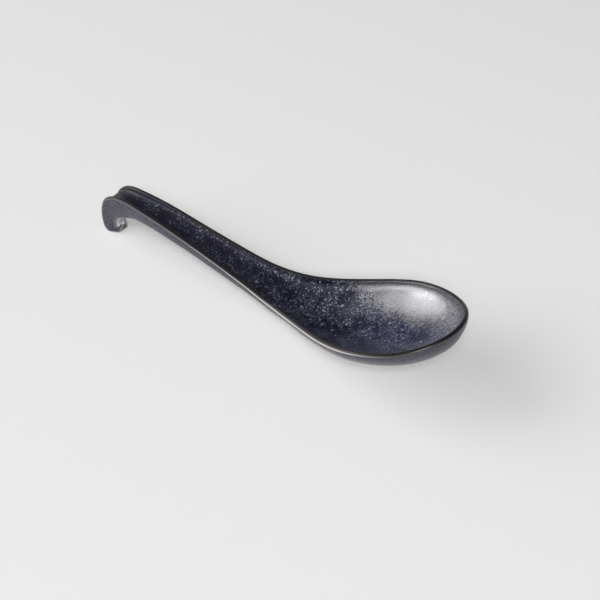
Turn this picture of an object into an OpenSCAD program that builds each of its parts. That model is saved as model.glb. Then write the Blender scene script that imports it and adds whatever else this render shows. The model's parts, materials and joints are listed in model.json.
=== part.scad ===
// Hook-handled ceramic soup spoon: one body of fired clay under three coats of glaze.
// +X points from the hook to the tip of the bowl and +Z is up. The origin is half way along the
// spoon, at the height of the table that it lies on with the heel of its bowl and with its hook.

/* [Bowl] */
// Length from the back of the hook to the tip of the bowl
overall_length = 172.6; // [160:0.2:184]
// Widest outside width of the bowl
bowl_width = 50; // [44:0.2:56]
// Distance from the widest place of the bowl to its tip
nose_length = 31.6; // [28:0.2:35]
// Height of the rim at the tip of the bowl
tip_height = 30.8; // [28:0.2:34]
// Thickness of the bowl over its foot
bowl_floor = 3.6; // [2.8:0.1:5]
// Distance from the tip of the bowl back to the heel, where the bowl stands on the table
heel_distance = 59.8; // [57:0.2:63]
// Length of the heel that lies flat on the table
heel_length = 6; // [4:0.5:8]
// Width of the flat foot under the bowl
foot_width = 11.2; // [9:0.2:14]
// Height of the foot's front end over the table
foot_rise = 7.6; // [6:0.2:9]

/* [Handle] */
// Distance from the tip of the bowl back to the neck, where the rim is lowest
neck_distance = 81.8; // [77:0.2:87]
// Width of the handle at its end, over the hook
end_width = 11.6; // [10:0.1:14]
// Width of the handle at the neck
neck_width = 21.4; // [18:0.2:25]
// Height of the rim at its crest, above the hook
crest_height = 21.4; // [20:0.2:24]
// Height of the rim at the neck
neck_height = 11.5; // [10.4:0.1:13]
// Height of the arch under the handle at its highest
arch_height = 14; // [12.6:0.1:15]
// Height of the underside at the neck
neck_clearance = 4.1; // [3.2:0.1:4.8]
// Depth of the channel at the crest
channel_depth = 2.8; // [1.5:0.1:3.5]
// Thickness under the channel half way along the handle
grip_floor = 3.4; // [2.6:0.1:4]
// Thickness under the channel at the neck
neck_floor = 3.1; // [2.4:0.1:4]
// Radius of the rounded lip all round
lip_radius = 1; // [0.8:0.05:1.2]

/* [Hook] */
// Length of the hook, from its back to where the handle runs on
hook_length = 25; // [22:0.5:28]
// Height of the arch's near end, over the mouth of the hook
mouth_height = 11.1; // [10.4:0.1:11.8]

/* [Glaze] */
// Thickness of each coat of glaze
glaze_thickness = 0.4; // [0.25:0.05:0.5]

/* [Hidden] */

// Columns of the surface grid along one side of the spoon, from hook tip to bowl tip
columns_per_knot = 2;
handle_columns = 10;
flare_columns = 12;
nose_columns = 11;
// Rows of the grid round a section, from the middle of the underside to the middle of the top
wall_rows = 6;
lip_rows = 4;
channel_rows = 8;

// How far the foot reaches into the nose of the bowl, as a share of the nose's length,
// and how far the middle line reaches, as a share of that
foot_reach_share = 0.2;
spine_share = 0.75;
// Where the neck, the heel, the widest place of the bowl and the foot lie
neck_place = overall_length - neck_distance;
heel_place = overall_length - heel_distance;
widest_place = overall_length - nose_length;
foot_nose = nose_length * foot_reach_share;
foot_end = widest_place + foot_nose;
foot_start = heel_place - heel_length;
spine_nose = foot_nose * spine_share;
// The foot leaves the table in a short bend over the heel's length, then runs straight
foot_slope = foot_rise / (foot_end - heel_place - heel_length / 2);

// Outline of the hook seen from the side, from its tip round to the handle.
// Across shares are of the hook's length, height shares of the crest's height.
hook_outer_across_shares = [0.316, 0.32, 0.312, 0.292, 0.248, 0.178, 0.11,
    0.032, 0.01, 0.022, 0.07, 0.178, 0.382, 0.682];
hook_outer_height_shares = [0.182, 0.14, 0.089, 0.028, 0, 0, 0,
    0.089, 0.271, 0.467, 0.687, 0.86, 0.977, 0.998];
hook_inner_across_shares = [0.284, 0.282, 0.276, 0.266, 0.254, 0.242, 0.238,
    0.246, 0.27, 0.318, 0.394, 0.494, 0.63, 0.806];
hook_inner_height_shares = [0.405, 0.351, 0.297, 0.266, 0.261, 0.306, 0.378,
    0.477, 0.595, 0.739, 0.883, 1, 1.126, 1.225];
// Half width at each of those knots, as shares of the end's half width
hook_width_shares = [0.172, 0.233, 0.319, 0.431, 0.552, 0.672, 0.776,
    0.845, 0.905, 0.957, 0.983, 1, 1, 1];
// How far the channel is open at each knot: 0 is a flat back and below 0 a crowned one
hook_open_shares = [-0.04, -0.04, -0.03, 0, 0, 0, 0, 0, -0.09, -0.05, 0.05, 0.6, 1, 1];
// Knots between which the hook stands on its ground flat
hook_flat_knots = [4, 6];
// Knot at which the bare inside of the hook ends, and the one where the upper coat begins
mouth_knot = 11;
coat_knot = 10;

// Width gained from the end to the neck and from there to the widest place
taper_place_shares = [0, 0.22, 0.44, 0.66, 0.88, 1];
taper_gain_shares = [0, 0.06, 0.17, 0.33, 0.62, 1];
flare_place_shares = [0.2, 0.4, 0.6, 0.8, 1];
flare_gain_shares = [0.17, 0.4, 0.66, 0.89, 1];
// Height lost from the crest to the neck and gained from there to the tip
fall_place_shares = [0, 0.2, 0.42, 0.65, 0.84, 1];
fall_shares = [0, 0.128, 0.383, 0.665, 0.891, 1];
rise_place_shares = [0.15, 0.35, 0.61, 0.86, 1];
rise_shares = [0.038, 0.206, 0.503, 0.779, 1];
crest_place = hook_length * 0.7;
// Height of the underside between the arch and the neck, and between the neck and the foot
arch_place_shares = [0.05, 0.4, 0.7];
arch_shares = [1, 0.716, 0.39];
sole_place_shares = [0.35, 0.7];
sole_shares = [0.47, 0.143];
// Half width of the flat underside: along the handle as shares of the half width there
flat_share = 0.62;
hook_flat_shares = [0.8, 0.84, 0.87, 0.87, 0.81, 0.72, 0.67,
    0.67, 0.69, 0.71, 0.76, 0.8, 0.75, 0.68];
// Radius of the lip where the hook's toe is narrow, as a share of the half width
narrow_lip_share = 0.25;
// Thickest glaze on a narrow lip, as a share of the lip's radius
narrow_coat_share = 0.5;
// Bulge of the hook's inside, as a share of the half width
crown_share = 0.08;
// and round the foot as shares of its half width, along its length
foot_place_shares = [0, 0.12, 0.3, 0.5, 0.72];
foot_half_shares = [0.4, 0.68, 0.92, 1, 0.92];
foot_front_share = 0.72;
// Roundness of the walls: 2 is an ellipse and more is squarer
hook_power = 1.4;
handle_power = 3;
neck_power = 1.8;
heel_power = 1.4;
bowl_power = 1.56;
nose_power = 2.15;
channel_power = 2.3;
bowl_channel_power = 1.65;
nose_channel_power = 2;

// What a station holds: the middle of the underside, the edge of its flat, the foot of the wall,
// the up and inward directions, the height of the rim, the thickness, the opening, the roundness
// of the walls, the radius of the lip, the roundness of the channel and the bulge of the underside
function base_of(station) = station[0];
function flat_of(station) = station[1];
function edge_of(station) = station[2];
function up_of(station) = station[3];
function inward_of(station) = station[4];
function rise_of(station) = station[5];
function floor_of(station) = station[6];
function opening_of(station) = station[7];
function power_of(station) = station[8];
function lip_of(station) = station[9];
function hollow_of(station) = station[10];
function crown_of(station) = station[11];

function hermite(a, b, slope_a, slope_b, f) =
    a * (2 * f * f * f - 3 * f * f + 1) + slope_a * (f * f * f - 2 * f * f + f)
    + b * (3 * f * f - 2 * f * f * f) + slope_b * (f * f * f - f * f);
function knot_slope(knots, i) = (knots[min(i + 1, len(knots) - 1)] - knots[max(i - 1, 0)]) / 2;
function spline(knots, t) =
    let (i = min(floor(t), len(knots) - 2))
    hermite(knots[i], knots[i + 1], knot_slope(knots, i), knot_slope(knots, i + 1), t - i);
function row_slope(rows, i) =
    let (a = rows[max(i - 1, 0)], b = rows[min(i + 1, len(rows) - 1)])
    (b[1] - a[1]) / (b[0] - a[0]);
function read(rows, x) =
    let (inside = [for (i = [0 : len(rows) - 2]) if (x >= rows[i][0]) i],
        i = len(inside) == 0 ? 0 : inside[len(inside) - 1],
        run = rows[i + 1][0] - rows[i][0],
        f = min(max((x - rows[i][0]) / run, 0), 1))
    hermite(rows[i][1], rows[i + 1][1], row_slope(rows, i) * run, row_slope(rows, i + 1) * run, f);
function mix(a, b, share) = a + (b - a) * share;

// Tables along the spoon: half width, rim height, underside, flat, thickness and roundness
half_width_rows = concat(
    [for (i = [0 : len(taper_place_shares) - 1])
        [neck_place * taper_place_shares[i], mix(end_width, neck_width, taper_gain_shares[i]) / 2]],
    [for (i = [0 : len(flare_place_shares) - 1])
        [mix(neck_place, widest_place, flare_place_shares[i]),
         mix(neck_width, bowl_width, flare_gain_shares[i]) / 2]],
    [[2 * widest_place - mix(neck_place, widest_place, flare_place_shares[3]),
      mix(neck_width, bowl_width, flare_gain_shares[3]) / 2]]);
rim_rows = concat(
    [for (i = [0 : len(fall_place_shares) - 1])
        [mix(crest_place, neck_place, fall_place_shares[i]),
         mix(crest_height, neck_height, fall_shares[i])]],
    [for (i = [0 : len(rise_place_shares) - 1])
        [mix(neck_place, overall_length, rise_place_shares[i]),
         mix(neck_height, tip_height, rise_shares[i])]]);
underside_rows = concat(
    [for (i = [0 : len(arch_place_shares) - 1])
        [mix(hook_length, neck_place, arch_place_shares[i]),
         mix(neck_clearance, arch_height, arch_shares[i])]],
    [[neck_place, neck_clearance]],
    [for (i = [0 : len(sole_place_shares) - 1])
        [mix(neck_place, foot_start, sole_place_shares[i]), neck_clearance * sole_shares[i]]],
    [[foot_start, 0], [heel_place, 0]]);
function foot_height(x) =
    let (t = max(x - heel_place, 0))
    foot_slope * (t < heel_length ? t * t / (2 * heel_length) : t - heel_length / 2);
function underside(x) = x < foot_start ? max(read(underside_rows, x), 0) : foot_height(x);
flat_rows = concat(
    [[hook_length, end_width * flat_share / 2], [neck_place, end_width * flat_share / 2]],
    [for (i = [0 : len(foot_place_shares) - 1])
        [mix(foot_start, foot_end, foot_place_shares[i]), foot_width * foot_half_shares[i] / 2]],
    [[widest_place, foot_width * foot_front_share / 2]]);
crest_floor = crest_height - arch_height - channel_depth;
floor_rows = [
    [hook_length, crest_floor],
    [mix(hook_length, neck_place, 0.5), grip_floor],
    [neck_place, neck_floor],
    [foot_start, bowl_floor],
    [foot_end, bowl_floor]];
power_rows = [
    [hook_length, handle_power],
    [mix(hook_length, neck_place, 0.6), handle_power],
    [neck_place, neck_power],
    [foot_start, heel_power],
    [foot_end, bowl_power]];
channel_rows_power = [
    [neck_place, channel_power],
    [foot_start, bowl_channel_power],
    [foot_end, bowl_channel_power]];

// Places along the middle: columns from the hook to the neck and from there to the widest place
handle_places = concat(
    [for (i = [0 : handle_columns - 1]) mix(hook_length, neck_place, i / handle_columns)],
    [for (i = [0 : flare_columns - 1]) mix(neck_place, widest_place, i / flare_columns)]);

// The hook's outlines run on into the handle's first two places, so that they join smoothly
outer_knots = concat(
    [for (i = [0 : len(hook_outer_across_shares) - 1])
        [hook_length * hook_outer_across_shares[i], crest_height * hook_outer_height_shares[i]]],
    [for (i = [0 : 1]) [handle_places[i], read(rim_rows, handle_places[i])]]);
inner_knots = concat(
    [for (i = [0 : len(hook_inner_across_shares) - 1])
        [hook_length * hook_inner_across_shares[i], mouth_height * hook_inner_height_shares[i]]],
    [for (i = [0 : 1]) [handle_places[i], underside(handle_places[i])]]);
width_knots = concat(
    [for (share = hook_width_shares) end_width / 2 * share],
    [for (i = [0 : 1]) read(half_width_rows, handle_places[i])]);
open_knots = concat(hook_open_shares, [1, 1]);
flat_knots = concat(hook_flat_shares, [flat_share, flat_share]);
knot_count = len(hook_outer_across_shares);

// Station in the hook, whose section stands between the two outlines
function hook_station(t) =
    let (inner = spline(inner_knots, t), drawn = spline(outer_knots, t),
        outer = [drawn[0], max(drawn[1], 0)],
        half = spline(width_knots, t), rise = norm(outer - inner), up = (outer - inner) / rise,
        tie = min(max(t - mouth_knot, 0) / (knot_count - mouth_knot), 1),
        flat = half * spline(flat_knots, t))
    [[inner[0], 0, inner[1]], [inner[0], -flat, inner[1]], [inner[0], -half, inner[1]],
     [up[0], 0, up[1]], [0, 1, 0], rise, rise - channel_depth, spline(open_knots, t),
     mix(hook_power, handle_power, tie), min(lip_radius, half * narrow_lip_share),
     channel_power, half * crown_share * (1 - tie)];

// Station across the handle, the neck and the back half of the bowl
function cross_station(x) =
    let (low = underside(x), half = read(half_width_rows, x))
    [[x, 0, low], [x, -read(flat_rows, x), low], [x, -half, low],
     [0, 0, 1], [0, 1, 0], read(rim_rows, x) - low, read(floor_rows, x), 1,
     read(power_rows, x), lip_radius, read(channel_rows_power, x), 0];

// Station fanned round the front of the bowl: the angle is 90 at the widest place and 0 at the tip
function on_foot(x, y) = [x, y, foot_height(x)];
function nose_station(angle) =
    let (along = cos(angle), aside = sin(angle), half = bowl_width / 2,
        edge = on_foot(widest_place + nose_length * along, -half * aside),
        normal = [-along / nose_length, aside / half, 0])
    [on_foot(widest_place + spine_nose * along, 0),
     on_foot(widest_place + foot_nose * along, -foot_width * foot_front_share / 2 * aside), edge,
     [0, 0, 1], normal / norm(normal), read(rim_rows, edge[0]) - edge[2], bowl_floor, 1,
     mix(nose_power, bowl_power, aside), lip_radius,
     mix(nose_channel_power, bowl_channel_power, aside), 0];

stations = concat(
    [for (i = [0 : knot_count * columns_per_knot - 1]) hook_station(i / columns_per_knot)],
    [for (x = handle_places) cross_station(x)],
    [for (i = [0 : nose_columns]) nose_station(90 - 90 * i / nose_columns)]);
columns = len(stations) - 1;
lip_start = 1 + wall_rows;
lip_end = lip_start + lip_rows;
rows = lip_end + channel_rows;

// Height on the upper side of a section, where a closed channel is as high as the rim
function opened(station, height) = rise_of(station) - opening_of(station) * (rise_of(station) - height);
function wall_point(station, angle) =
    let (power = power_of(station), across = pow(sin(angle), 2 / power),
        upward = 1 - pow(cos(angle), 2 / power))
    flat_of(station) + (edge_of(station) - flat_of(station)) * across
    + up_of(station) * (rise_of(station) - lip_of(station)) * upward;
function lip_point(station, angle) =
    let (height = rise_of(station) - lip_of(station) * (1 - sin(angle)))
    edge_of(station) + inward_of(station) * lip_of(station) * (1 - cos(angle))
    + up_of(station) * (angle > 90 ? opened(station, height) : height);
function channel_point(station, angle) =
    let (shoulder = rise_of(station) - lip_of(station),
        inside = edge_of(station) + inward_of(station) * 2 * lip_of(station),
        height = shoulder - (shoulder - floor_of(station)) * pow(cos(angle), 2 / hollow_of(station)))
    base_of(station) + (inside - base_of(station)) * pow(sin(angle), 2 / hollow_of(station))
    + up_of(station) * opened(station, height);
function surface_point(station, k) =
    k == 0 ? base_of(station) - up_of(station) * crown_of(station)
    : k <= lip_start ? wall_point(station, 90 * (k - 1) / wall_rows)
    : k < lip_end ? lip_point(station, 180 * (k - lip_start) / lip_rows)
    : channel_point(station, 90 * (rows - k) / channel_rows);

function mirrored(point) = [point[0], -point[1], point[2]];
near_side = [for (station = stations) [for (k = [0 : rows]) surface_point(station, k)]];

// Outward direction at a point of the grid. The middle rows and the last column lie in the
// plane of symmetry, so their directions are worked out in that plane.
function direction(j, k) =
    let (along = near_side[min(j + 1, columns)][k] - near_side[max(j - 1, 0)][k],
        normal = k == 0 ? cross([0, 1, 0], along)
            : k == rows ? cross(along, [0, 1, 0])
            : cross(j == columns ? [0, 1, 0] : along, near_side[j][k + 1] - near_side[j][k - 1]))
    normal / norm(normal);
function coat_of(station) = min(glaze_thickness, lip_of(station) * narrow_coat_share);
clay_side = [for (j = [0 : columns])
    [for (k = [0 : rows]) near_side[j][k] - direction(j, k) * coat_of(stations[j])]];

// All points: the outer surface first, then the surface of the clay under the glaze.
// Each is the near side column by column, then its mirror image back to the hook.
function both_sides(side) = concat(
    [for (column = side) each column],
    [for (i = [1 : columns]) each [for (point = side[columns - i]) mirrored(point)]]);
middle = [overall_length / 2, 0, 0];
points = [for (point = concat(both_sides(near_side), both_sides(clay_side))) point - middle];
last_column = 2 * columns;
layer_size = (last_column + 1) * (rows + 1);
// The two sides share the points of the middle rows
function corner(j, k, layer) =
    layer * layer_size + (j > columns && (k == 0 || k == rows) ? last_column - j : j) * (rows + 1) + k;

// What covers each cell of the grid
BARE = "bare";
OUTER = "outer";
RIM = "rim";
INNER = "inner";
NONE = "none";
coat_column = coat_knot * columns_per_knot;
mouth_column = mouth_knot * columns_per_knot;
function is_foot(i, k) = k == 0 && near_side[i][0][0] >= foot_start;
function is_mouth(i, k) = k == 0 && i < mouth_column;
function is_hook_flat(i, k) =
    k >= lip_start + lip_rows / 2 && i >= hook_flat_knots[0] * columns_per_knot
    && i < hook_flat_knots[1] * columns_per_knot;
function cover(j, k) =
    let (i = j < columns ? j : last_column - 1 - j)
    is_foot(i, k) || is_mouth(i, k) || is_hook_flat(i, k) ? BARE
    : k < lip_start || i < coat_column ? OUTER
    : k < lip_end ? RIM : INNER;
covers = [for (j = [0 : last_column - 1]) [for (k = [0 : rows - 1]) cover(j, k)]];
// Cover of the cell beyond an edge, over the middle rows to the other side; none at the hook's tip
function cover_beyond(j, k) =
    j < 0 || j >= last_column ? NONE
    : k < 0 || k >= rows ? covers[last_column - 1 - j][k < 0 ? 0 : rows - 1]
    : covers[j][k];

// The two triangles of a cell, in one layer. The sides mirror each other, and the cut turns over
// between the outside and the inside, so that no triangle at the ends of the middle rows is flat
function cell_faces(j, k, layer) =
    let (a = corner(j, k, layer), b = corner(j + 1, k, layer),
        c = corner(j + 1, k + 1, layer), d = corner(j, k + 1, layer))
    (j < columns) == (k < lip_start) ? [[a, b, d], [b, c, d]] : [[a, b, c], [a, c, d]];
function turned(faces) = [for (face = faces) [face[2], face[1], face[0]]];
// Wall between the two layers under the edge from one grid point to the next
function wall_faces(j1, k1, j2, k2) =
    let (a = corner(j1, k1, 0), b = corner(j2, k2, 0), c = corner(j1, k1, 1), d = corner(j2, k2, 1))
    [[b, a, c], [b, c, d]];
// Walls along those edges of a cell where the cover changes
function border_faces(j, k, own, ends) = concat(
    cover_beyond(j, k - 1) != own ? wall_faces(j, k, j + 1, k) : [],
    cover_beyond(j, k + 1) != own ? wall_faces(j + 1, k + 1, j, k + 1) : [],
    j == 0 && !ends ? [] : cover_beyond(j - 1, k) != own ? wall_faces(j, k + 1, j, k) : [],
    j == last_column - 1 && !ends ? []
        : cover_beyond(j + 1, k) != own ? wall_faces(j + 1, k, j + 1, k + 1) : []);

// The hook's tip is closed across the first and the last column
function tip_side(j) = [for (k = [0 : rows]) each
    let (below = cover_beyond(0, max(k - 1, 0)) == BARE,
        above = cover_beyond(0, min(k, rows - 1)) == BARE)
    below == above ? [corner(j, k, below ? 0 : 1)]
        : [corner(j, k, below ? 0 : 1), corner(j, k, above ? 0 : 1)]];
tip_near = tip_side(0);
tip_far = tip_side(last_column);
tip_faces = [for (i = [0 : len(tip_near) - 2]) each concat(
    i > 0 ? [[tip_near[i], tip_near[i + 1], tip_far[i]]] : [],
    i < len(tip_near) - 2 ? [[tip_near[i + 1], tip_far[i + 1], tip_far[i]]] : [])];

module coat(kind) {
    polyhedron(points, turned([
        for (j = [0 : last_column - 1]) for (k = [0 : rows - 1]) if (covers[j][k] == kind) each concat(
            cell_faces(j, k, 0), turned(cell_faces(j, k, 1)), border_faces(j, k, kind, true))]));
}

module stoneware_body() {
    color("lightgray")
    polyhedron(points, turned(concat(
        [for (j = [0 : last_column - 1]) for (k = [0 : rows - 1]) each
            covers[j][k] == BARE ? concat(cell_faces(j, k, 0), border_faces(j, k, BARE, false))
                : cell_faces(j, k, 1)],
        tip_faces)));
}

module inner_glaze() {
    color("slategray") coat(INNER);
}

module outer_glaze() {
    color("midnightblue") coat(OUTER);
}

module rim_glaze() {
    color("rosybrown") coat(RIM);
}

stoneware_body();
inner_glaze();
outer_glaze();
rim_glaze();
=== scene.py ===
# %% [markdown]
# # A ceramic spoon with a hook at the end of its handle
# The spoon is one body of fired clay under three coats of glaze: a speckled, nearly black one
# in the bowl and the channel of the handle, a thin one over the lip, and a greyer one on the
# outside and the hook. Each of these is a CAD part of its own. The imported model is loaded
# first. It is the fixed frame: every piece below lies where its CAD part lies, in metres.

import json
import math

import bpy
import numpy as np
from mathutils import Matrix, Vector
from mathutils.kdtree import KDTree

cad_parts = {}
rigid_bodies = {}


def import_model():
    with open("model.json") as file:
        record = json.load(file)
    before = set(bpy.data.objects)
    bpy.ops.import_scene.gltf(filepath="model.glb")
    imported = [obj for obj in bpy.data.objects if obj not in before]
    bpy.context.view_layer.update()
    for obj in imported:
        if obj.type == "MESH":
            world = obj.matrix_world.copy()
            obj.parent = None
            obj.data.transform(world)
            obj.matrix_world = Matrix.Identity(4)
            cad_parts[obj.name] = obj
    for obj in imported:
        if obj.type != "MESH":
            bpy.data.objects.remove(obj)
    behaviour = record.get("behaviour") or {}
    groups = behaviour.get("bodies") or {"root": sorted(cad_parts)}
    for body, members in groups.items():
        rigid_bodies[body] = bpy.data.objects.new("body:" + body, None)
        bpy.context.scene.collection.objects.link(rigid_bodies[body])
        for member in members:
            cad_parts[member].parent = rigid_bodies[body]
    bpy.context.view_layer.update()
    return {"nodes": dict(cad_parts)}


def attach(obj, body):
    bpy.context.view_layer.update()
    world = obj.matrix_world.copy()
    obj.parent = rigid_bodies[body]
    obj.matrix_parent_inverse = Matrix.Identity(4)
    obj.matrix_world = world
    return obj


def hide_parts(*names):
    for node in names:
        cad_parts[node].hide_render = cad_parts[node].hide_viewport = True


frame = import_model()
mm = 0.001
print("CAD parts:", sorted(frame["nodes"]))

# %% [markdown]
# ## From the CAD parts to one smooth skin
# The CAD parts are made of flat triangles, and the coats of glaze are separate solids. The
# real spoon is smooth, and its glaze runs from one coat into the next without a step. A smooth
# skin could be drawn again by hand, but it would miss the measured shape. So copies of the
# four parts are taken, what lies hidden inside the spoon is deleted, and the rest is welded
# into one skin. Each copy keeps a material of its own, which tells later which face was whose.

# %% Copy the four parts
coats = ["stoneware_body", "outer_glaze", "rim_glaze", "inner_glaze"]
finish_of = {name: bpy.data.materials.new("finish_" + name) for name in coats}


def add_object(name, data):
    made = bpy.data.objects.new(name, data)
    bpy.context.scene.collection.objects.link(made)
    return made


def give_finish(piece, name):
    piece.data.materials.clear()
    piece.data.materials.append(finish_of[name])


copies = [add_object("copy_" + name, frame["nodes"][name].data.copy()) for name in coats]
for copied, name in zip(copies, coats):
    give_finish(copied, name)
print("copied", [len(copied.data.polygons) for copied in copies], "triangles")

# %% [markdown]
# A triangle that two parts share lies between them, under the glaze, so its corners belong to
# the buried surface of the clay. Comparing every triangle with every other one would be slow.
# A KD tree sorts the centres by their place and finds the near ones at once.

# %% Find the buried corners
same_place = 0.003 * mm


def tree_of(places):
    tree = KDTree(len(places))
    for index, place in enumerate(places):
        tree.insert(place, index)
    tree.balance()
    return tree


centres = [(face.center.copy(), number) for number, copied in enumerate(copies)
           for face in copied.data.polygons]
centre_tree = tree_of([centre for centre, _ in centres])


def is_shared(centre, number):
    return any(centres[index][1] != number
               for _, index, _ in centre_tree.find_range(centre, same_place))


buried = [copied.data.vertices[corner].co.copy() for number, copied in enumerate(copies)
          for face in copied.data.polygons if is_shared(face.center, number)
          for corner in face.vertices]
buried_tree = tree_of(buried)
print("corners of shared triangles:", len(buried))

# %% [markdown]
# Every triangle that touches a buried corner goes. An operator works on all that is selected,
# and loading the model leaves its parts selected, so everything is deselected first. Then one
# object is made the active one, and its faces are selected in code.

# %% Select faces in code
def deselect_everything():
    for thing in bpy.context.scene.objects:
        thing.select_set(False)


def take(piece):
    deselect_everything()
    piece.select_set(True)
    bpy.context.view_layer.objects.active = piece


def forget_selection(piece, kind):
    take(piece)
    bpy.ops.object.mode_set(mode="EDIT")
    bpy.ops.mesh.select_mode(type=kind)
    bpy.ops.mesh.select_all(action="DESELECT")
    bpy.ops.object.mode_set(mode="OBJECT")


def choose_faces(piece, wanted):
    forget_selection(piece, "FACE")
    for face in piece.data.polygons:
        face.select = wanted(face)
    chosen = sum(face.select for face in piece.data.polygons)
    bpy.ops.object.mode_set(mode="EDIT")
    return chosen


deselect_everything()
print("objects still selected:", len(bpy.context.selected_objects))

# %% Delete what the glaze hides
for copied in copies:
    hidden = {point.index for point in copied.data.vertices
              if buried_tree.find(point.co)[2] < same_place}
    chosen = choose_faces(copied, lambda face: not hidden.isdisjoint(face.vertices))
    bpy.ops.mesh.delete(type="FACE")
    bpy.ops.object.mode_set(mode="OBJECT")
    print(copied.name, "loses", chosen, "hidden triangles")

# %% [markdown]
# The copies are joined and their edges welded. Two triangles at a time become a quad again, as
# the grid of the CAD surface had them, because subdivision rounds quads far more evenly. The
# open end at the tip of the hook is closed.

# %% Join the copies
deselect_everything()
for copied in copies:
    copied.select_set(True)
skin = copies[0]
bpy.context.view_layer.objects.active = skin
bpy.ops.object.join()
skin.name = "skin"
print("joined:", len(skin.data.vertices), "points")

# %% Weld them and make quads
weld_distance = 0.005 * mm
any_angle = math.pi
keep_to_grid = 2

forget_selection(skin, "VERT")
bpy.ops.object.mode_set(mode="EDIT")
bpy.ops.mesh.select_all(action="SELECT")
bpy.ops.mesh.customdata_custom_splitnormals_clear()
bpy.ops.mesh.remove_doubles(threshold=weld_distance)
bpy.ops.mesh.tris_convert_to_quads(
    face_threshold=any_angle, shape_threshold=any_angle, topology_influence=keep_to_grid)
bpy.ops.mesh.select_all(action="DESELECT")
bpy.ops.mesh.select_non_manifold()
bpy.ops.mesh.edge_face_add()
bpy.ops.object.mode_set(mode="OBJECT")
corners = [len(face.vertices) for face in skin.data.polygons]
print("skin:", corners.count(4), "quads and", len(corners) - corners.count(4), "other faces")

# %% [markdown]
# ## Rounding the skin
# Subdivision draws a smooth surface near the points of a mesh, but a little inside them where
# it bends. Here the CAD points lie on the real surface, so each is first moved out by as much
# as the rounding would pull it in. The points pull on each other, so one move isn't enough:
# the miss is measured and the points are moved three times.

# %% Move each point out
subdivisions = 2
moves = 3

take(skin)
bpy.ops.object.modifier_add(type="SUBSURF")
rounding = skin.modifiers[-1]
rounding.levels = rounding.render_levels = subdivisions
aims = [point.co.copy() for point in skin.data.vertices]
for _ in range(moves):
    rounded = skin.evaluated_get(bpy.context.evaluated_depsgraph_get()).data
    misses = [(aim - now.co).dot(now.normal) for aim, now in zip(aims, rounded.vertices)]
    print("largest miss:", round(max(map(abs, misses)) / mm, 3), "mm")
    for point, now, miss in zip(skin.data.vertices, rounded.vertices, misses):
        point.co += now.normal * miss
    skin.data.update()

# %% [markdown]
# Now the skin is subdivided for good. What would dip under the table by a hair is laid flat on
# it, as the unglazed foot of a real spoon is ground flat after the firing.

# %% Subdivide for good
take(skin)
bpy.ops.object.modifier_apply(modifier=rounding.name)
for point in skin.data.vertices:
    point.co.z = max(point.co.z, 0)
print("smooth skin:", len(skin.data.polygons), "quads")

# %% [markdown]
# ## Marks for the glaze
# Two things decide how a glaze looks at a spot: which coat it is, and how sharply the clay
# bends there, because molten glaze draws back from an edge and stays thin on it. Both are
# measured on the skin and kept as attributes, which a material can read. The first is 1 on the
# upper coat, one half on the lip and 0 below. Averaging a mark with its neighbours a few times
# makes one coat melt into the next.

# %% Read the skin
mesh = skin.data
coat_slots = {name: mesh.materials.find("finish_" + name) for name in coats}
points = np.array([point.co for point in mesh.vertices])
edges = np.array([edge.vertices[:] for edge in mesh.edges])
print("the skin has", len(points), "points and", len(edges), "edges")

# %% Mark the upper side
lip_mark = 0.5
coat_averages = 9


def averaged(marks, times):
    for _ in range(times):
        total = marks.copy()
        count = np.ones(len(marks))
        for first, second in ((0, 1), (1, 0)):
            np.add.at(total, edges[:, first], marks[edges[:, second]])
            np.add.at(count, edges[:, first], 1)
        marks = total / count
    return marks


def keep_mark(name, marks):
    kept = mesh.attributes.new(name, "FLOAT", "POINT")
    kept.data.foreach_set("value", marks.astype(np.float32))
    print(name, "from", round(float(marks.min()), 3), "to", round(float(marks.max()), 3))


mark_of = {coat_slots["inner_glaze"]: 1, coat_slots["rim_glaze"]: lip_mark}
upper_side = np.zeros(len(points))
for face in mesh.polygons:
    around = list(face.vertices)
    mark = mark_of.get(face.material_index, 0)
    upper_side[around] = np.maximum(upper_side[around], mark)
keep_mark("upper_side", averaged(upper_side, coat_averages))

# %% [markdown]
# How sharply the skin bends at a point is how far the normal turns on the way to a neighbour,
# divided by the way. The sharpest of these bends counts. It is kept as a share of the bend of
# a lip with a radius of 1 mm.

# %% Mark the edges
lip_radius = 1 * mm
sharpest_mark = 1.5
edge_averages = 2
least_square = 1e-12

normals = np.array([point.normal for point in mesh.vertices])
spans = points[edges[:, 1]] - points[edges[:, 0]]
turns = normals[edges[:, 1]] - normals[edges[:, 0]]
bends = (spans * turns).sum(axis=1) / np.maximum((spans ** 2).sum(axis=1), least_square)
sharpest = np.full(len(points), -np.inf)
for end in (0, 1):
    np.maximum.at(sharpest, edges[:, end], bends)
edge_marks = np.clip(sharpest * lip_radius, 0, sharpest_mark)
keep_mark("edge", averaged(edge_marks, edge_averages))

# %% [markdown]
# The coats will meet on a surface that curves, so each piece's own normals would turn away at
# its border and show a crease. The normals of the whole skin are kept for that as well.

# %% Keep the skin's normals
kept_normals = mesh.attributes.new("skin_normal", "FLOAT_VECTOR", "POINT")
for point in mesh.vertices:
    kept_normals.data[point.index].vector = point.normal
print("kept", len(kept_normals.data), "normals")

# %% [markdown]
# ## Four pieces again
# The skin is parted where the CAD parts meet. The clay is a copy of the whole skin, pressed in
# by the thickness of the glaze wherever glaze lies on it. Each coat is its own patch of the
# skin, given its thickness inwards, so all four pieces are closed and touch without a gap. The
# extrude operator lists the walls that it makes in another order each time, so the clay's
# faces are sorted by their distance from a place beside the hook.

# %% Press the clay in
glaze_thickness = 0.4 * mm
beside_hook = (-100 * mm, -40 * mm, 50 * mm)

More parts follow.
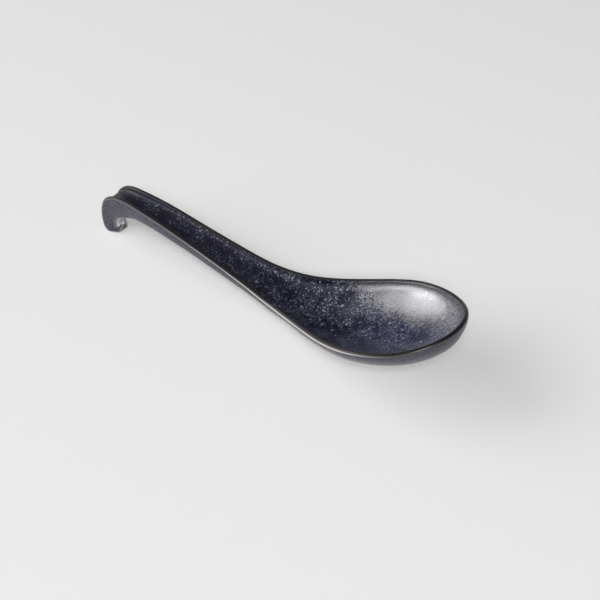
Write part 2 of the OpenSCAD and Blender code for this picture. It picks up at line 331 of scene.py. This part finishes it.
clay = add_object("clay_body", skin.data.copy())
choose_faces(clay, lambda face: face.material_index != coat_slots["stoneware_body"])
bpy.ops.mesh.extrude_region_shrink_fatten(
    MESH_OT_extrude_region={"use_normal_flip": False},
    TRANSFORM_OT_shrink_fatten={"value": -glaze_thickness})
bpy.ops.mesh.select_all(action="SELECT")
bpy.context.scene.cursor.location = beside_hook
bpy.ops.mesh.sort_elements(type="CURSOR_DISTANCE", elements={"EDGE", "FACE"})
bpy.ops.object.mode_set(mode="OBJECT")
pieces = {"stoneware_body": clay}
print(clay.name, "has", len(clay.data.polygons), "faces")

# %% Part the coats
for name in coats[1:]:
    coat = add_object(name.replace("glaze", "coat"), skin.data.copy())
    choose_faces(coat, lambda face: face.material_index != coat_slots[name])
    bpy.ops.mesh.delete(type="FACE")
    bpy.ops.object.mode_set(mode="OBJECT")
    take(coat)
    bpy.ops.object.modifier_add(type="SOLIDIFY")
    wall = coat.modifiers[-1]
    wall.thickness = glaze_thickness
    wall.offset = -1
    bpy.ops.object.modifier_apply(modifier=wall.name)
    pieces[name] = coat
    print(coat.name, "has", len(coat.data.polygons), "faces")
bpy.data.objects.remove(skin)

# %% [markdown]
# Every face that shows takes its shading from the kept normals. A face inside the spoon looks
# another way than the skin over it, and keeps its own normal.

# %% Shade across the seams
looks_outward = 0.5

for piece in pieces.values():
    from_skin = [kept.vector.copy()
                 for kept in piece.data.attributes["skin_normal"].data]
    shading = []
    for face in piece.data.polygons:
        face.use_smooth = True
        for corner in face.vertices:
            shows = face.normal.dot(from_skin[corner]) > looks_outward
            shading.append(tuple(from_skin[corner] if shows else face.normal))
    piece.data.normals_split_custom_set(shading)
print("shaded", len(pieces), "pieces across their seams")

# %% [markdown]
# ## Materials
# Bare clay shows where the spoon stands and in the notch of the hook. It is pale, dull and
# gritty. A photograph of clay could be wrapped round it, but it would stretch on such a shape.
# A material of nodes has no seam and no stretch, so one fine noise gives the clay both its
# tones and its grain. Small helpers, written where they are first needed, keep the node trees
# short.

# %% Open the clay's material
def open_material(material):
    material.use_nodes = True
    return material.node_tree, material.node_tree.nodes["Principled BSDF"]


def add_node(tree, kind, **settings):
    made = tree.nodes.new(kind)
    for name, value in settings.items():
        setattr(made, name, value)
    return made


clay_tree, clay_shader = open_material(finish_of["stoneware_body"])
place = add_node(clay_tree, "ShaderNodeTexCoord").outputs["Object"]
print("nodes for the clay:", [node.name for node in clay_tree.nodes])

# %% Grit in the bare clay
grit_size, grit_detail, grit_roughness = 0.5 * mm, 3.0, 0.6


def feed(tree, target, source):
    if hasattr(source, "is_output"):
        tree.links.new(source, target)
    else:
        target.default_value = source


def place_noise(tree, place, size, detail=2.0, roughness=0.5, output="Fac"):
    made = add_node(tree, "ShaderNodeTexNoise")
    feed(tree, made.inputs["Vector"], place)
    feed(tree, made.inputs["Scale"], 1 / size)
    feed(tree, made.inputs["Detail"], detail)
    feed(tree, made.inputs["Roughness"], roughness)
    return made.outputs[output]


grit = place_noise(clay_tree, place, grit_size, grit_detail, grit_roughness)
print("grit:", round(grit_size / mm, 2), "mm")

# %% Tones of the bare clay
clay_grey, clay_white = (0.56, 0.55, 0.60, 1), (0.72, 0.71, 0.76, 1)
grit_range = (0.35, 0.65)
clay_roughness = 0.8


def spread(tree, value, low, high, to_low=0.0, to_high=1.0, smooth=True):
    made = add_node(tree, "ShaderNodeMapRange",
                    interpolation_type="SMOOTHSTEP" if smooth else "LINEAR")
    for name, source in (("Value", value), ("From Min", low), ("From Max", high),
                         ("To Min", to_low), ("To Max", to_high)):
        feed(tree, made.inputs[name], source)
    return made.outputs["Result"]


def blend(tree, share, first, second, kind="RGBA"):
    made = add_node(tree, "ShaderNodeMix", data_type=kind)
    feed(tree, made.inputs["Factor"], share)
    feed(tree, made.inputs["A"], first)
    feed(tree, made.inputs["B"], second)
    return made.outputs["Result"]


tones = blend(clay_tree, spread(clay_tree, grit, *grit_range), clay_grey, clay_white)
feed(clay_tree, clay_shader.inputs["Base Color"], tones)
clay_shader.inputs["Roughness"].default_value = clay_roughness
print("clay tones from", clay_grey[:3], "to", clay_white[:3])

# %% Grain of the bare clay
clay_grain = 0.05 * mm


def add_bump(tree, shader, height, distance):
    bump = add_node(tree, "ShaderNodeBump")
    feed(tree, bump.inputs["Height"], height)
    feed(tree, bump.inputs["Distance"], distance)
    feed(tree, shader.inputs["Normal"], bump.outputs["Normal"])


add_bump(clay_tree, clay_shader, grit, clay_grain)
print("clay grain:", round(clay_grain / mm, 2), "mm")

# %% [markdown]
# ## Crystals
# Fine pale crystals float in the dark glaze. They could be thousands of tiny meshes, but a
# Voronoi texture does it with a single node: it cuts space into cells of one size, and each
# cell has a random colour. Its red says whether the cell holds a crystal at all, its green how
# large that is and its blue how bright. A little noise on the coordinates makes the round
# crystals uneven. The glaze needs crystals in three sizes, so they are a node group, built
# once.

# %% A node group for crystals
default_size, default_density = 0.7 * mm, 0.3


def new_group(name, inputs, outputs):
    group = bpy.data.node_groups.new(name, "ShaderNodeTree")
    for label, value in inputs:
        socket = group.interface.new_socket(
            label, in_out="INPUT", socket_type="NodeSocketFloat")
        socket.default_value = value
    for label, kind in outputs:
        group.interface.new_socket(label, in_out="OUTPUT", socket_type="NodeSocket" + kind)
    given = add_node(group, "NodeGroupInput").outputs
    result = add_node(group, "NodeGroupOutput").inputs
    return group, given, result


crystals, given, result = new_group(
    "crystals", [("Size", default_size), ("Density", default_density)], [("Mask", "Float")])
place = add_node(crystals, "ShaderNodeTexCoord").outputs["Object"]
print("group", crystals.name, "has", [item.name for item in crystals.interface.items_tree])

# %% Cells for the crystals
wander = 0.5 * mm


def calculate(tree, operation, first, second, third=0.0):
    made = add_node(tree, "ShaderNodeMath", operation=operation)
    for target, source in zip(made.inputs, (first, second, third)):
        feed(tree, target, source)
    return made.outputs[0]


def take_apart(tree, source, kind="XYZ"):
    made = add_node(tree, "ShaderNodeSeparate" + kind)
    feed(tree, made.inputs[0], source)
    return made.outputs


shifted = add_node(crystals, "ShaderNodeVectorMath", operation="MULTIPLY_ADD")
feed(crystals, shifted.inputs[0], place_noise(crystals, place, wander, output="Color"))
feed(crystals, shifted.inputs[1], (wander, wander, wander))
feed(crystals, shifted.inputs[2], place)
cells = add_node(crystals, "ShaderNodeTexVoronoi", feature="F1")
feed(crystals, cells.inputs["Vector"], shifted.outputs[0])
feed(crystals, cells.inputs["Scale"], calculate(crystals, "DIVIDE", 1.0, given["Size"]))
chance = take_apart(crystals, cells.outputs["Color"], "Color")
print("cells wander by up to", round(wander / mm, 2), "mm")

# %% A crystal in a cell
crystal_radius = (0.2, 0.6)
bright_core = 0.4
brightness = (0.2, 1.0)


def multiply(tree, first, *others):
    for other in others:
        first = calculate(tree, "MULTIPLY", first, other)
    return first


radius = spread(crystals, chance["Green"], 0.0, 1.0, *crystal_radius, smooth=False)
core = multiply(crystals, radius, bright_core)
spot = spread(crystals, cells.outputs["Distance"], core, radius, 1.0, 0.0)
there = calculate(crystals, "LESS_THAN", chance["Red"], given["Density"])
glint = spread(crystals, chance["Blue"], 0.0, 1.0, *brightness, smooth=False)
feed(crystals, result["Mask"], multiply(crystals, spot, there, glint))
print("group:", crystals.name, "with", len(crystals.nodes), "nodes")

# %% [markdown]
# ## Glaze
# The same melt covers the whole spoon, and only its thickness and its crystals change. Three
# separate materials would show a hard line where they meet. So one group works out the glaze
# for every spot, from its place and from the two marks, and all three coats use it. A fine
# mist of noise makes the border between the upper and the outer glaze ragged, except on a
# sharp edge, where a real border runs straight along the lip.

# %% Which glaze a spot has
mist_size, mist_roughness = 0.55 * mm, 0.7
sharp_bends = (0.5, 0.95)
mist_middle, raggedness = 0.5, 0.8
glaze_border = (0.47, 0.57)

glaze, _, result = new_group(
    "speckled_glaze", [],
    [("Color", "Color"), ("Metallic", "Float"), ("Roughness", "Float"), ("Height", "Float")])
place = add_node(glaze, "ShaderNodeTexCoord").outputs["Object"]
along = take_apart(glaze, place)
side = add_node(glaze, "ShaderNodeAttribute", attribute_name="upper_side").outputs["Fac"]
edge = add_node(glaze, "ShaderNodeAttribute", attribute_name="edge").outputs["Fac"]
mist = place_noise(glaze, place, mist_size, roughness=mist_roughness)
sharp = spread(glaze, edge, *sharp_bends)
ragged = multiply(glaze, calculate(glaze, "SUBTRACT", mist, mist_middle),
                  calculate(glaze, "SUBTRACT", 1.0, sharp))
ragged_side = calculate(glaze, "MULTIPLY_ADD", ragged, raggedness, side)
upper = spread(glaze, ragged_side, *glaze_border)
print("the upper glaze begins at a mark of", glaze_border[0])

# %% [markdown]
# The crystals lie in drifts, sparse by the hook and dense in the bowl. There are few on the
# outside. Fine ones are common, coarse ones are rare, and where two meet, the brighter one
# shows.

# %% Drifts of crystals
drift_size, drift_detail, drift_roughness = 7 * mm, 4.0, 0.65
drift_range, drift_strength = (0.35, 0.65), (0.25, 1.6)
hook_to_bowl, bowl_share = (-80 * mm, 60 * mm), (0.12, 1.0)
outside_density = 0.25

drift = place_noise(glaze, place, drift_size, drift_detail, drift_roughness)
drifts = spread(glaze, drift, *drift_range, *drift_strength)
in_bowl = spread(glaze, along["X"], *hook_to_bowl, *bowl_share)
density = blend(glaze, upper, outside_density, multiply(glaze, in_bowl, drifts), "FLOAT")
print("crystals by the hook and in the bowl:", bowl_share)

# %% Crystals of three sizes
grain_sizes = ((0.45 * mm, 1.0), (0.8 * mm, 0.6), (1.4 * mm, 0.2))


def use_group(tree, group, **values):
    made = add_node(tree, "ShaderNodeGroup", node_tree=group)
    for name, value in values.items():
        feed(tree, made.inputs[name], value)
    return made.outputs


def largest(tree, first, *others):
    for other in others:
        first = calculate(tree, "MAXIMUM", first, other)
    return first


grains = largest(glaze, *(
    use_group(glaze, crystals, Size=size, Density=multiply(glaze, density, share))["Mask"]
    for size, share in grain_sizes))
print("crystal sizes in millimetres:", [round(size / mm, 2) for size, _ in grain_sizes])

# %% [markdown]
# On the far side of the bowl the crystals crowd into a bright cloud, which fades to loose
# motes at its border. The drift noise bends its outline, so that it isn't a straight ramp.

# %% Cloud in the bowl
drift_bend = 40 * mm
far_side_pull, tip_pull = 3.5, 0.75
cloud_from, cloud_to = 70 * mm, 118 * mm
thinner_from, thinner_to, thinner_tip = 62 * mm, 80 * mm, 0.6
mote_size, mote_roughness = 0.7 * mm, 0.75
crowding = 0.4
mote_range = (0.64, 0.78)
fade_in = (0.0, 0.3)

far_along = calculate(glaze, "MULTIPLY_ADD", drift, drift_bend, along["X"])
toward_far_tip = calculate(glaze, "MULTIPLY_ADD", along["Y"], far_side_pull,
                           multiply(glaze, far_along, tip_pull))
in_cloud = multiply(
    glaze, spread(glaze, toward_far_tip, cloud_from, cloud_to),
    spread(glaze, along["X"], thinner_from, thinner_to, 1.0, thinner_tip))
motes = place_noise(glaze, place, mote_size, roughness=mote_roughness)
denser = calculate(glaze, "MULTIPLY_ADD", in_cloud, crowding, motes)
cloud = multiply(glaze, spread(glaze, in_cloud, *fade_in), spread(glaze, denser, *mote_range))
print("the cloud deepens over", round((cloud_to - cloud_from) / mm), "mm")

# %% [markdown]
# Under the crystals the upper glaze is navy and turns violet toward the tip of the bowl. The
# glaze outside is slate grey. The mist mottles both.

# %% Ground colours
navy, soft_navy = (0.0035, 0.0033, 0.012, 1), (0.010, 0.010, 0.032, 1)
violet, frost = (0.030, 0.029, 0.076, 1), (0.305, 0.303, 0.32, 1)
slate, soft_slate = (0.013, 0.012, 0.026, 1), (0.09, 0.088, 0.135, 1)
navy_mottle, slate_mottle = (0.35, 0.75), (0.4, 0.65)
violet_from, violet_to = 48 * mm, 86 * mm

dark_blue = blend(glaze, spread(glaze, mist, *navy_mottle), navy, soft_navy)
near_tip = spread(glaze, far_along, violet_from, violet_to)
dark_blue = blend(glaze, near_tip, dark_blue, violet)
dark_blue = blend(glaze, cloud, dark_blue, frost)
grey = blend(glaze, spread(glaze, mist, *slate_mottle), slate, soft_slate)
ground = blend(glaze, upper, grey, dark_blue)
print("ground from", navy[:3], "over", violet[:3], "to", frost[:3])

# %% [markdown]
# Two lines run along the lip. On its crest the glaze is thin and nearly black brown. On the
# outer corner a pale line is painted. It is partly clay where the glaze has drawn back, and
# partly a painted highlight of the lamps on the lip, so it is strongest along the bowl, weaker
# on the handle and almost gone round the tip.

# %% Lines on the lip
# bone is the pale line on the lip's outer corner: partly bare clay, partly a painted highlight
brown_black, bone_and_highlight = (0.010, 0.007, 0.007, 1), (0.78, 0.70, 0.68, 1)
crest_marks, crest_strength = (0.52, 0.60), 0.9
corner_marks = (0.43, 0.50)
handle_to_bowl, handle_share = (-40 * mm, 35 * mm), 0.3
bowl_to_tip, tip_share = (46 * mm, 74 * mm), 0.1

thin = multiply(glaze, sharp, spread(glaze, side, *crest_marks, crest_strength, 0.0))
ground = blend(glaze, thin, ground, brown_black)
corner = spread(glaze, side, *corner_marks, 1.0, 0.0)
# painted highlight: the pale line fades along the spoon where the lamps' reflection on the lip
# fades
wear_and_highlight = multiply(glaze, spread(glaze, far_along, *handle_to_bowl, handle_share, 1.0),
                spread(glaze, along["X"], *bowl_to_tip, 1.0, tip_share))
bare_and_highlight = multiply(glaze, sharp, corner, wear_and_highlight)
ground = blend(glaze, bare_and_highlight, ground, bone_and_highlight)
print("crest of the lip:", brown_black[:3], "outer corner:", bone_and_highlight[:3])

# %% [markdown]
# The crystals are bluish in the dark glaze, whiter in the cloud and grey outside, and there
# are none on the lip's two lines. They shine like flakes of metal, which makes the wide soft
# glow in the bowl.

# %% Colour and shine of the glaze
blue_white, cloud_white = (0.50, 0.54, 0.68, 1), (0.50, 0.505, 0.54, 1)
outside_grey = (0.16, 0.165, 0.19, 1)
crystal_shine, cloud_shine = 0.7, 0.95

pale = blend(glaze, in_cloud, blue_white, cloud_white)
pale = blend(glaze, upper, outside_grey, pale)
off_lines = calculate(glaze, "SUBTRACT", 1.0, largest(glaze, thin, bare_and_highlight))
shown = multiply(glaze, grains, off_lines)
feed(glaze, result["Color"], blend(glaze, shown, ground, pale))
feed(glaze, result["Metallic"], largest(
    glaze, multiply(glaze, shown, crystal_shine),
    multiply(glaze, cloud, upper, cloud_shine)))
print("shine of crystals and cloud:", crystal_shine, cloud_shine)

# %% [markdown]
# The glaze is duller on the handle than in the bowl, and duller where a crystal breaks it. The
# crystals lift the surface a little and the melt itself isn't quite even, which breaks the
# edge of every highlight into grains.

# %% Roughness and height of the glaze
outside_dull, handle_dull, bowl_dull = 0.32, 0.5, 0.28
smoother_from, smoother_to = -5 * mm, 45 * mm
crystal_dull = 0.1
melt_size, melt_roughness, melt_height = 0.7 * mm, 0.6, 0.7

upper_dull = spread(glaze, far_along, smoother_from, smoother_to, handle_dull, bowl_dull)
dull = blend(glaze, upper, outside_dull, upper_dull, "FLOAT")
feed(glaze, result["Roughness"],
     calculate(glaze, "MULTIPLY_ADD", shown, crystal_dull, dull))
melt = place_noise(glaze, place, melt_size, roughness=melt_roughness)
feed(glaze, result["Height"], calculate(glaze, "MULTIPLY_ADD", melt, melt_height, shown))
print("group:", glaze.name, "with", len(glaze.nodes), "nodes")

# %% [markdown]
# The three coats share the glaze and differ a little in how strongly they mirror and how
# uneven they are. What is the same all over a coat is set on the shader itself.

# %% Finish the four pieces
glaze_ior = 1.5


def make_glaze(name, mirror, unevenness):
    tree, shader = open_material(finish_of[name])
    surface = use_group(tree, glaze)
    for label in ("Metallic", "Roughness"):
        feed(tree, shader.inputs[label], surface[label])
    feed(tree, shader.inputs["Base Color"], surface["Color"])
    add_bump(tree, shader, surface["Height"], unevenness)
    shader.inputs["IOR"].default_value = glaze_ior
    shader.inputs["Specular IOR Level"].default_value = mirror


make_glaze("inner_glaze", mirror=0.6, unevenness=0.03 * mm)
make_glaze("rim_glaze", mirror=0.5, unevenness=0.02 * mm)
make_glaze("outer_glaze", mirror=0.5, unevenness=0.02 * mm)
for name, piece in pieces.items():
    give_finish(piece, name)
print("finishes:", [piece.data.materials[0].name for piece in pieces.values()])

# %% [markdown]
# ## Floor
# The photograph shows a pale table with no horizon. A floor lit bright enough to look white
# would need lamps that wash out the spoon. So the paper glows a little, but only for rays that
# come from the camera, from a mirroring surface or through glass. It looks brighter to the eye
# and in the mirror of the glaze, adds no other light to the spoon, and still takes its shadow.

# %% Floor
floor_size = 4
paper_white, paper_glow_colour = (0.9, 0.9, 0.895, 1), (1, 1, 0.995, 1)
paper_roughness, paper_mirror, paper_glow = 0.9, 0.0, 0.12


def seen_rays(tree):
    rays = add_node(tree, "ShaderNodeLightPath").outputs
    return largest(tree, rays["Is Camera Ray"], rays["Is Glossy Ray"],
                   rays["Is Transmission Ray"])


deselect_everything()
bpy.ops.mesh.primitive_plane_add(size=floor_size, location=(0, 0, 0))
floor = bpy.context.object
floor.name = "floor"
paper = bpy.data.materials.new("pale_table")
paper_tree, paper_shader = open_material(paper)
paper_shader.inputs["Base Color"].default_value = paper_white
paper_shader.inputs["Roughness"].default_value = paper_roughness
paper_shader.inputs["Specular IOR Level"].default_value = paper_mirror
paper_shader.inputs["Emission Color"].default_value = paper_glow_colour
feed(paper_tree, paper_shader.inputs["Emission Strength"],
     multiply(paper_tree, seen_rays(paper_tree), paper_glow))
floor.data.materials.append(paper)
print("floor:", floor_size, "m wide")

# %% [markdown]
# ## Light
# Seen from the camera, a wide window stands at the left, a little behind the spoon, and a
# second one beside it, a little in front. The cloud in the bowl mirrors them as a soft glow,
# and the shadow falls to the right. A third, smaller lamp stands behind the camera and keeps
# that shadow pale. Each lamp is placed by its direction from the bowl and given by the share
# that it adds to the light on the floor, so it can be moved without changing the level.

# %% Lamps
lamp_distance = 3.0
under_bowl = Vector((0.03, 0, 0))
# name, turn and rise in degrees, width and height in metres, share of the light
lamps = (
    ("back_window", -166, 33, 2.0, 1.9, 0.17),
    ("side_window", -131, 24, 2.6, 1.6, 0.14),
    ("fill", -51, 41, 1.0, 1.0, 0.43))


def add_lamp(name, turn, rise, width, height, share):
    made = bpy.data.lights.new(name, "AREA")
    made.shape = "RECTANGLE"
    made.size = width
    made.size_y = height
    made.energy = share * (math.pi * lamp_distance) ** 2 / math.sin(rise)
    towards = Vector((math.cos(rise) * math.cos(turn), math.cos(rise) * math.sin(turn),
                      math.sin(rise)))
    lamp = add_object(name, made)
    lamp.location = under_bowl + towards * lamp_distance
    lamp.rotation_mode = "QUATERNION"
    lamp.rotation_quaternion = (-towards).to_track_quat("-Z", "Y")
    print(name, "shines with", round(made.energy), "W")


for name, turn, rise, width, height, share in lamps:
    add_lamp(name, math.radians(turn), math.radians(rise), width, height, share)

# %% [markdown]
# The room adds a little even light. Low down it is pale for the camera and for mirrored rays,
# and higher up it is dark, because the handle in the photograph mirrors a dark room.

# %% Room
room_light = 0.06
wall_white = (1, 1, 1, 1)
wall_foot, wall_top, wall_glow = 0.05, 0.35, 0.74

world = bpy.data.worlds.new("room")
bpy.context.scene.world = world
world.use_nodes = True
room = world.node_tree
walls = room.nodes["Background"]
walls.inputs["Color"].default_value = wall_white
heading = take_apart(room, add_node(room, "ShaderNodeTexCoord").outputs["Generated"])
low_down = spread(room, heading["Z"], wall_foot, wall_top, wall_glow, 0.0)
feed(room, walls.inputs["Strength"],
     calculate(room, "MULTIPLY_ADD", seen_rays(room), low_down, room_light))
print("room light:", room_light)

# %% [markdown]
# ## Camera
# The camera stands where a camera fitted to the outline of the spoon stands, turned as that
# one is. Its long lens keeps the far rim nearly as large as the near one.

# %% Camera
camera_place = (0.24778, -0.29259, 0.31548)
right = Vector((0.78790, 0.61566, -0.01299))
up = Vector((-0.38305, 0.50652, 0.77246))
forward = Vector((-0.48216, 0.60365, -0.63493))
film_width, focal_length = 36, 75.625
shift_x, shift_y = 0.0058, 0.0008

lens = bpy.data.cameras.new("camera")
lens.sensor_width = film_width
lens.lens = focal_length
lens.shift_x = shift_x
lens.shift_y = shift_y
camera = add_object("camera", lens)
turned = Matrix((right, up, -forward)).transposed().to_4x4()
camera.matrix_world = Matrix.Translation(camera_place) @ turned
bpy.context.scene.camera = camera
bpy.context.scene.view_settings.view_transform = "Standard"
print("camera:", focal_length, "mm lens,", round(camera_place[2], 2), "m above the table")

# %% [markdown]
# ## Hand over
# Every piece rides on the one rigid body, stands for its CAD part and names its finish.

# %% Ride and finish
for name, piece in pieces.items():
    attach(piece, "root")
    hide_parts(name)
bpy.context.view_layer.update()
